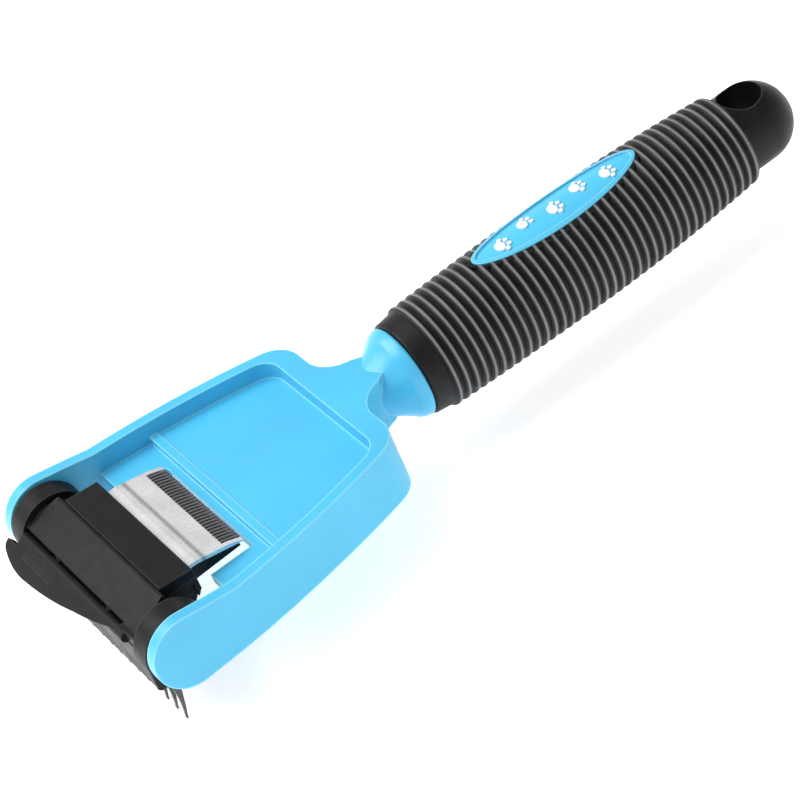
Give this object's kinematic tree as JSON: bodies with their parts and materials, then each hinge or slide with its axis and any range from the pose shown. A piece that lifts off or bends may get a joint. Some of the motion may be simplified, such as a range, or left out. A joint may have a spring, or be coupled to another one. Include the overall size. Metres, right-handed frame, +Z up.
{
  "type": "dematting comb",
  "caption": "Two-sided pet dematting comb: a head with hooked blades and a fine-toothed edge turns between a frame's arms and locks; ribbed grip with a hang hole.",
  "frame": {"origin": "middle of the bounding box's bottom face, level with the hooked blades' tips", "axes": "+X along the handle, from the head to the hang hole. +Z up, away from the hooked blades' tips. +Y towards the arm that holds the lock track."},
  "size_m": [0.2248, 0.0758, 0.0416],
  "materials": {
    "frame_plastic": "gloss",
    "badge_plastic": "gloss",
    "white_plastic": "satin",
    "grip_rubber": "matt",
    "black_plastic": "satin",
    "blade_steel": "brushed",
    "steel": "satin"
  },
  "bodies": {
    "handle": {"frame": "frame_plastic", "grip_sleeve": "grip_rubber", "badge_plate": "badge_plastic", "badge_paws": "white_plastic", "end_cap": "black_plastic", "pivot_pin_left": "steel", "pivot_pin_right": "steel"},
    "head": {"head_base": "black_plastic", "head_cover": "black_plastic", "blade_clamp": "black_plastic", "shedding_blade": "blade_steel", "blade_rod": "steel", "hub_screws": "steel", "cover_screws": "steel", "clamp_screws": "steel", "lever_pin": "steel", "lever_spring": "steel", "bolt_spring": "steel", "comb_blade_01": "blade_steel", "comb_blade_02": "blade_steel", "comb_blade_03": "blade_steel", "comb_blade_04": "blade_steel", "comb_blade_05": "blade_steel", "comb_blade_06": "blade_steel", "comb_blade_07": "blade_steel", "comb_blade_08": "blade_steel", "comb_blade_09": "blade_steel", "comb_blade_10": "blade_steel", "comb_blade_11": "blade_steel", "comb_blade_12": "blade_steel"},
    "lever": {"release_lever": "black_plastic"},
    "bolt": {"lock_bolt": "steel"}
  },
  "joints": [
    {"name": "head_turn", "type": "hinge", "parent": "handle", "child": "head", "pos_m": [-0.09688, 0, 0.0262], "axis": [0, 1, 0], "range_deg": [0, 90]},
    {"name": "release_lever_press", "type": "hinge", "parent": "head", "child": "lever", "pos_m": [-0.10527, 0, 0.0296], "axis": [0, -1, 0], "range_deg": [0, 8], "stiffness_Nm_per_rad": 0.005, "springref_deg": -20.05, "deforming": ["lever_spring"]},
    {"name": "lock_bolt_slide", "type": "slide", "parent": "head", "child": "bolt", "axis": [0, -1, 0], "range_m": [0, 0.00199], "stiffness_N_per_m": 300, "springref_m": -0.002, "deforming": ["bolt_spring"]}
  ],
  "couplings": [
    {"joint": "release_lever_press", "follows": "lock_bolt_slide", "rad_per_m": 69.93}
  ]
}
